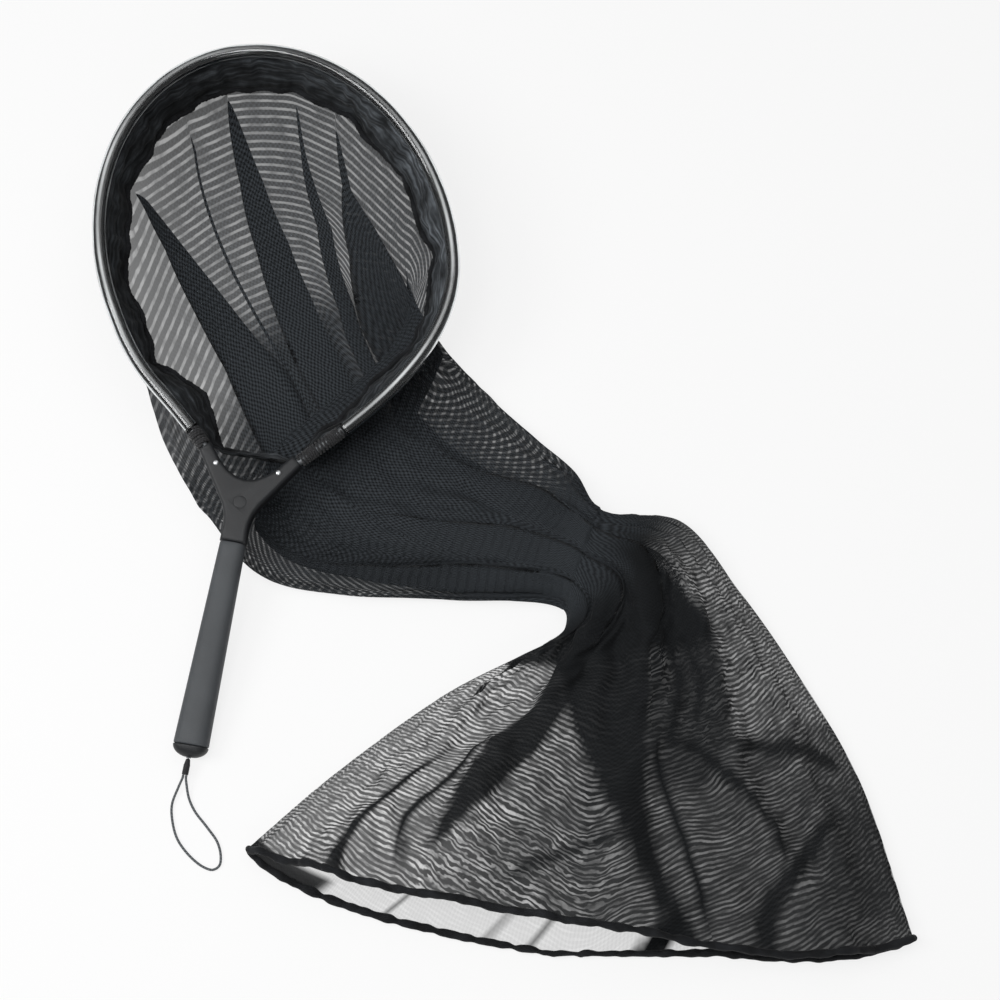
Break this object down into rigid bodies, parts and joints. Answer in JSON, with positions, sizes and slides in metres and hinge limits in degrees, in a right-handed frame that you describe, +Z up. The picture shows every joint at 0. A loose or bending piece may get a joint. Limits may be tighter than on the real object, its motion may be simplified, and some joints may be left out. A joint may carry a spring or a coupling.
{
  "type": "koi sock net",
  "caption": "Hand-held koi sock net: a moulded grip and forked yoke hold a riveted tube hoop with a cloth collar and a long knitted sock, open at its far end, lying collapsed on a table.",
  "frame": {"origin": "The middle of the footprint, on the table that the net lies on", "axes": "+Z up from the table; +Y from the wrist loop towards the far side of the hoop, 10 degrees off the handle's heading; +X from the handle towards the spread sock"},
  "size_m": [0.8322, 0.9622, 0.1374],
  "materials": {
    "moulded_plastic": "slate grey moulding with a fine satin grain",
    "grip_plastic": "slate grey soft satin sleeve",
    "aluminium_tube": "plain drawn tube",
    "clear_sheath": "clear flexible sheath over the black hem",
    "collar_cloth": "black woven cloth",
    "knitted_net": "black fine knitted net with open courses",
    "lashing_cord": "black twisted cord",
    "loop_cord": "grey twisted cord"
  },
  "bodies": {
    "net": {"yoke": "moulded_plastic", "grip_sleeve": "grip_plastic", "butt_cap": "moulded_plastic", "hoop_tube": "aluminium_tube", "hoop_sheath": "clear_sheath", "rivet_left": "aluminium_tube", "rivet_right": "aluminium_tube", "net_collar": "collar_cloth", "collar_bead": "collar_cloth", "net_sock": "knitted_net", "end_hem": "collar_cloth", "lashing_left": "lashing_cord", "lashing_right": "lashing_cord", "lanyard_knot": "loop_cord"},
    "wrist_loop": {"lanyard_whipping": "lashing_cord", "lanyard_cord": "loop_cord"}
  },
  "joints": [
    {"name": "wrist_loop_swing", "type": "hinge", "parent": "net", "child": "wrist_loop", "pos_m": [-0.29362, -0.28178, 0.01053], "axis": [0, 0, 1], "range_deg": [-75, 8]}
  ]
}
